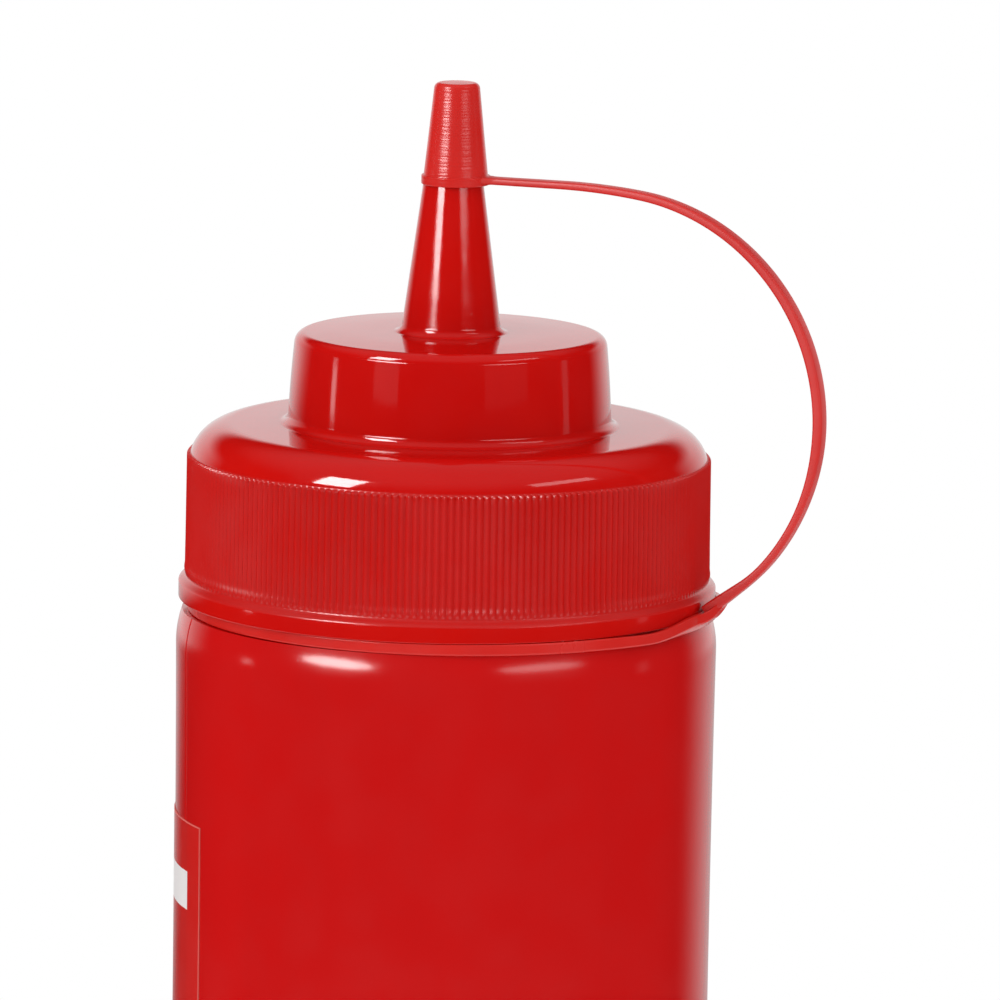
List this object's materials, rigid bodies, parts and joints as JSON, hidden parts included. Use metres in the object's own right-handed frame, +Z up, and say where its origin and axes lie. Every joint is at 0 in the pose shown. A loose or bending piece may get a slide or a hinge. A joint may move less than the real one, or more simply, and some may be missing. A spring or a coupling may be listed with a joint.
{
  "type": "squeeze bottle",
  "caption": "Red plastic squeeze bottle for sauces, with a ribbed screw lid, a domed top with a cone nozzle, and a tip cap held on a looped strap.",
  "frame": {"origin": "centre of the bottle's flat base", "axes": "+Z up along the bottle's axis; +X towards the strap's loop; the label is centred on -X"},
  "size_m": [0.0859, 0.07, 0.24],
  "materials": {
    "bottle_plastic": "soft gloss",
    "lid_plastic": "gloss",
    "tether_plastic": "satin",
    "label_film": "satin print"
  },
  "bodies": {
    "root": {"bottle": "bottle_plastic", "lid": "lid_plastic", "tether": "tether_plastic", "label": "label_film"}
  },
  "joints": []
}
